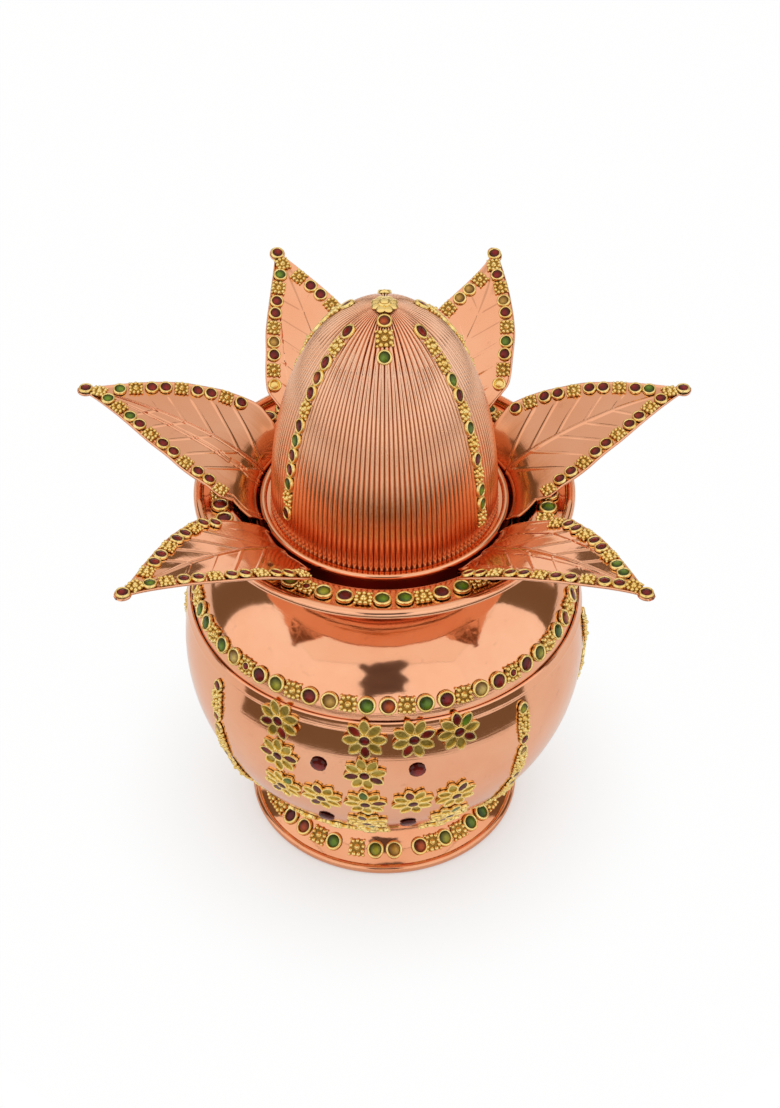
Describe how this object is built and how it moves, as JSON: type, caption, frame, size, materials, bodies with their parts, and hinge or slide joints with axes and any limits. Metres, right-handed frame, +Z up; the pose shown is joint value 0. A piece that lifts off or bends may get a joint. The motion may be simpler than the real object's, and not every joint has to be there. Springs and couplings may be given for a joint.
{
  "type": "kalash pot",
  "caption": "Spun copper kalash pot on a flared foot, with a lift-out crown of mango leaves, a pleated coconut lid and gilt stone trims, for worship at home",
  "frame": {"origin": "on the pot's axis, at the surface that the foot ring stands on", "axes": "+Z up along the pot's axis, front (the side with the wide gap between two leaves) towards -Y, +X to the right as seen from the front"},
  "size_m": [0.226, 0.1779, 0.2368],
  "materials": {
    "copper": "polished rosy copper sheet with fine spinning marks",
    "leaf_copper": "polished pressed copper sheet",
    "gilt": "gilt beadwork set with small red, green and amber stones",
    "red_stone": "cut garnet-red glass stone",
    "green_stone": "cut peridot-green glass stone",
    "amber_stone": "cut amber glass stone"
  },
  "bodies": {
    "pot": {"foot_ring": "copper", "lower_bowl": "copper", "waist_band": "copper", "upper_shoulder": "copper", "mouth_rim": "copper", "foot_trim": "gilt", "waist_trim": "gilt", "mouth_trim": "gilt", "bowl_trim_1": "gilt", "bowl_trim_2": "gilt", "bowl_trim_3": "gilt", "bowl_trim_4": "gilt", "bowl_trim_5": "gilt", "bowl_trim_6": "gilt", "bowl_trim_7": "gilt"},
    "leaf_crown": {"crown_collar": "copper", "mango_leaf_front_left": "leaf_copper", "mango_leaf_front_right": "leaf_copper", "mango_leaf_side_left": "leaf_copper", "mango_leaf_side_right": "leaf_copper", "mango_leaf_back_left": "leaf_copper", "mango_leaf_back_right": "leaf_copper", "leaf_trim_front_left": "gilt", "leaf_trim_front_right": "gilt", "leaf_trim_side_left": "gilt", "leaf_trim_side_right": "gilt", "leaf_trim_back_left": "gilt", "leaf_trim_back_right": "gilt"},
    "coconut": {"coconut_base": "copper", "coconut_shell": "copper", "apex_flower": "gilt", "coconut_trim_1": "gilt", "coconut_trim_2": "gilt", "coconut_trim_3": "gilt", "coconut_trim_4": "gilt", "coconut_trim_5": "gilt", "coconut_trim_6": "gilt"}
  },
  "joints": [
    {"name": "crown_lift", "type": "slide", "parent": "pot", "child": "leaf_crown", "axis": [0, 0, 1], "range_m": [0, 0.05]},
    {"name": "coconut_lift", "type": "slide", "parent": "leaf_crown", "child": "coconut", "axis": [0, 0, 1], "range_m": [0, 0.06]}
  ]
}
